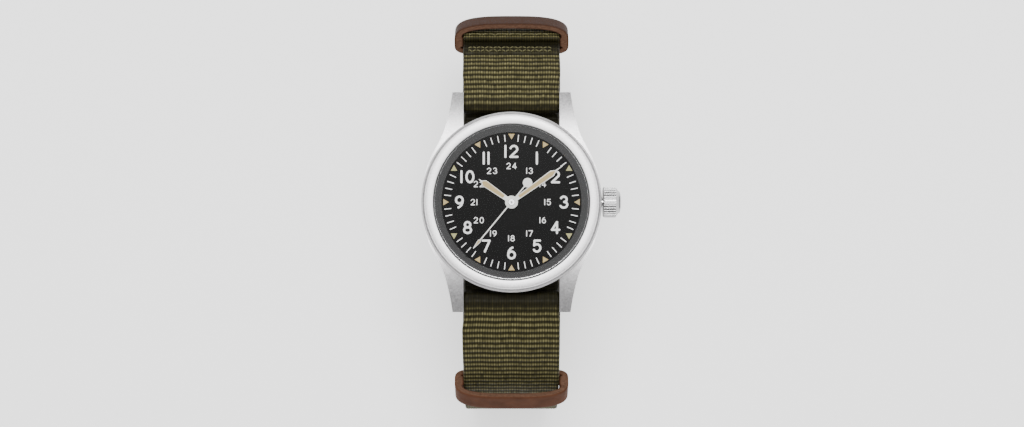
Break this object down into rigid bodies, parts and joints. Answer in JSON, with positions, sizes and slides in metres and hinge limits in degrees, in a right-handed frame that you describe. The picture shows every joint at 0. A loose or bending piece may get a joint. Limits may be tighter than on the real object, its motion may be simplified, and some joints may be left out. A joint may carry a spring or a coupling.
{
  "type": "wristwatch",
  "caption": "Hand-wound field wristwatch with a round blasted steel case, black dial, three centre hands, and an olive webbing strap with leather keepers, buckled into a loop.",
  "frame": {"origin": "on the axis of the hands, at the surface that the buckled strap stands on (the outer face of the keeper by the buckle)", "axes": "+Z out of the dial, +Y towards 12 o'clock, +X towards 3 o'clock and the crown"},
  "size_m": [0.0423, 0.0884, 0.0633],
  "materials": {
    "case_steel": "bead-blasted",
    "crown_steel": "bead-blasted, fluted",
    "sapphire": "clear",
    "gasket": "matte",
    "rehaut": "satin",
    "dial_black": "matte",
    "hand_white": "satin",
    "tube_steel": "polished",
    "plate_nickel": "satin nickel plate",
    "holder_plastic": "moulded",
    "ruby": "polished",
    "gear_brass": "gilt",
    "wheel_steel": "polished",
    "spring_steel": "polished",
    "webbing": "ribbed woven nylon",
    "leather": "smooth",
    "buckle_steel": "satin"
  },
  "bodies": {
    "root": {"case_middle": "case_steel", "bezel": "case_steel", "crystal": "sapphire", "crystal_gasket": "gasket", "rehaut_ring": "rehaut", "dial": "dial_black", "case_back": "case_steel", "case_back_gasket": "gasket", "crown_tube": "tube_steel", "mainplate": "plate_nickel", "movement_holder": "holder_plastic", "barrel_bridge": "plate_nickel", "train_bridge": "plate_nickel", "balance_cock": "plate_nickel", "bridge_screws": "tube_steel", "jewels": "ruby", "click_spring": "tube_steel", "hairspring": "spring_steel", "strap_main": "webbing", "strap_flap": "webbing", "keeper_free": "leather", "keeper_buckle": "leather", "keeper_flap": "leather", "buckle_bar": "buckle_steel", "spring_bar_12": "buckle_steel", "spring_bar_6": "buckle_steel", "bar_springs": "spring_steel"},
    "seconds": {"fourth_wheel": "gear_brass", "seconds_hand": "hand_white"},
    "minutes": {"centre_wheel": "gear_brass", "cannon_pinion": "gear_brass", "minute_hand": "hand_white"},
    "hours": {"hour_wheel": "gear_brass", "hour_hand": "hand_white"},
    "minute_wheel": {"minute_wheel": "gear_brass"},
    "third_wheel": {"third_wheel": "gear_brass"},
    "escape_wheel": {"escape_wheel": "wheel_steel"},
    "barrel": {"barrel_drum": "gear_brass", "barrel_cover": "gear_brass", "mainspring": "spring_steel"},
    "balance": {"balance_wheel": "gear_brass"},
    "pallet_fork": {"pallet_fork": "tube_steel"},
    "crown_slide": {"crown_gasket": "gasket", "setting_lever": "tube_steel"},
    "crown": {"crown": "crown_steel", "winding_stem": "tube_steel"},
    "winding_pinion": {"winding_pinion": "tube_steel"},
    "yoke": {"yoke": "tube_steel"},
    "sliding_pinion": {"sliding_pinion": "tube_steel"},
    "crown_wheel": {"crown_wheel": "wheel_steel"},
    "ratchet": {"ratchet_wheel": "wheel_steel", "ratchet_screw": "tube_steel", "barrel_arbor": "tube_steel"},
    "click": {"click": "tube_steel"},
    "buckle_frame": {"buckle_frame": "buckle_steel"},
    "buckle_tongue": {"buckle_tongue": "buckle_steel"},
    "tip_12_left": {"spring_bar_tip_12_left": "buckle_steel"},
    "tip_12_right": {"spring_bar_tip_12_right": "buckle_steel"},
    "tip_6_left": {"spring_bar_tip_6_left": "buckle_steel"},
    "tip_6_right": {"spring_bar_tip_6_right": "buckle_steel"}
  },
  "joints": [
    {"name": "seconds_turn", "type": "hinge", "parent": "root", "child": "seconds", "pos_m": [0, 0, 0.058], "axis": [0, 0, -1], "continuous": true},
    {"name": "minutes_turn", "type": "hinge", "parent": "root", "child": "minutes", "pos_m": [0, 0, 0.058], "axis": [0, 0, -1], "continuous": true},
    {"name": "hours_turn", "type": "hinge", "parent": "root", "child": "hours", "pos_m": [0, 0, 0.058], "axis": [0, 0, -1], "continuous": true},
    {"name": "minute_wheel_turn", "type": "hinge", "parent": "root", "child": "minute_wheel", "pos_m": [0.00283, -0.00132, 0.058], "axis": [0, 0, -1], "continuous": true},
    {"name": "third_wheel_turn", "type": "hinge", "parent": "root", "child": "third_wheel", "pos_m": [-0.00281, 0.00162, 0.058], "axis": [0, 0, -1], "continuous": true},
    {"name": "escape_wheel_turn", "type": "hinge", "parent": "root", "child": "escape_wheel", "pos_m": [0.00143, -0.00248, 0.058], "axis": [0, 0, -1], "continuous": true},
    {"name": "barrel_turn", "type": "hinge", "parent": "root", "child": "barrel", "pos_m": [0.00227, 0.00542, 0.058], "axis": [0, 0, -1], "continuous": true},
    {"name": "balance_swing", "type": "hinge", "parent": "root", "child": "balance", "pos_m": [0.0041, -0.0071, 0.057], "axis": [0, 0, -1], "range_deg": [-270, 270]},
    {"name": "pallet_fork_rock", "type": "hinge", "parent": "root", "child": "pallet_fork", "pos_m": [0.0026, -0.0045, 0.057], "axis": [0, 0, -1], "range_deg": [-5, 5]},
    {"name": "crown_pull", "type": "slide", "parent": "root", "child": "crown_slide", "axis": [1, 0, 0], "range_m": [0, 0.0012]},
    {"name": "crown_turn", "type": "hinge", "parent": "crown_slide", "child": "crown", "pos_m": [0.021, 0, 0.0574], "axis": [1, 0, 0], "continuous": true},
    {"name": "winding_pinion_turn", "type": "hinge", "parent": "root", "child": "winding_pinion", "pos_m": [0.0091, 0, 0.0574], "axis": [1, 0, 0], "continuous": true},
    {"name": "yoke_shift", "type": "slide", "parent": "root", "child": "yoke", "axis": [1, 0, 0], "range_m": [-0.00042, 0]},
    {"name": "sliding_pinion_turn", "type": "hinge", "parent": "yoke", "child": "sliding_pinion", "pos_m": [0.0083, 0, 0.0574], "axis": [1, 0, 0], "continuous": true},
    {"name": "crown_wheel_turn", "type": "hinge", "parent": "root", "child": "crown_wheel", "pos_m": [0.0067, 0, 0.0557], "axis": [0, 0, 1], "continuous": true},
    {"name": "ratchet_turn", "type": "hinge", "parent": "root", "child": "ratchet", "pos_m": [0.00227, 0.00542, 0.0557], "axis": [0, 0, 1], "continuous": true},
    {"name": "click_lift", "type": "hinge", "parent": "root", "child": "click", "pos_m": [-0.00345, 0.0064, 0.0557], "axis": [0, 0, -1], "range_deg": [0, 8]},
    {"name": "buckle_frame_swing", "type": "hinge", "parent": "root", "child": "buckle_frame", "pos_m": [0, -0.0075, 0.0046], "axis": [1, 0, 0], "range_deg": [0, 10]},
    {"name": "buckle_tongue_swing", "type": "hinge", "parent": "buckle_frame", "child": "buckle_tongue", "pos_m": [0, -0.0075, 0.0046], "axis": [1, 0, 0], "range_deg": [0, 6]},
    {"name": "tip_12_left_press", "type": "slide", "parent": "root", "child": "tip_12_left", "axis": [1, 0, 0], "range_m": [0, 0.0014], "stiffness_N_per_m": 300},
    {"name": "tip_12_right_press", "type": "slide", "parent": "root", "child": "tip_12_right", "axis": [-1, 0, 0], "range_m": [0, 0.0014], "stiffness_N_per_m": 300},
    {"name": "tip_6_left_press", "type": "slide", "parent": "root", "child": "tip_6_left", "axis": [1, 0, 0], "range_m": [0, 0.0014], "stiffness_N_per_m": 300},
    {"name": "tip_6_right_press", "type": "slide", "parent": "root", "child": "tip_6_right", "axis": [-1, 0, 0], "range_m": [0, 0.0014], "stiffness_N_per_m": 300}
  ],
  "couplings": [
    {"joint": "minutes_turn", "follows": "seconds_turn", "ratio": 0.016667},
    {"joint": "hours_turn", "follows": "seconds_turn", "ratio": 0.0013889},
    {"joint": "minute_wheel_turn", "follows": "seconds_turn", "ratio": -0.0055556},
    {"joint": "third_wheel_turn", "follows": "seconds_turn", "ratio": -0.13333},
    {"joint": "escape_wheel_turn", "follows": "seconds_turn", "ratio": -10},
    {"joint": "barrel_turn", "follows": "seconds_turn", "ratio": -0.0027778},
    {"joint": "pallet_fork_rock", "follows": "balance_swing", "ratio": -0.018519},
    {"joint": "winding_pinion_turn", "follows": "crown_turn", "ratio": 1},
    {"joint": "sliding_pinion_turn", "follows": "crown_turn", "ratio": 1},
    {"joint": "crown_wheel_turn", "follows": "crown_turn", "ratio": 0.5},
    {"joint": "ratchet_turn", "follows": "crown_turn", "ratio": -0.375},
    {"joint": "yoke_shift", "follows": "crown_pull", "ratio": -0.35}
  ]
}
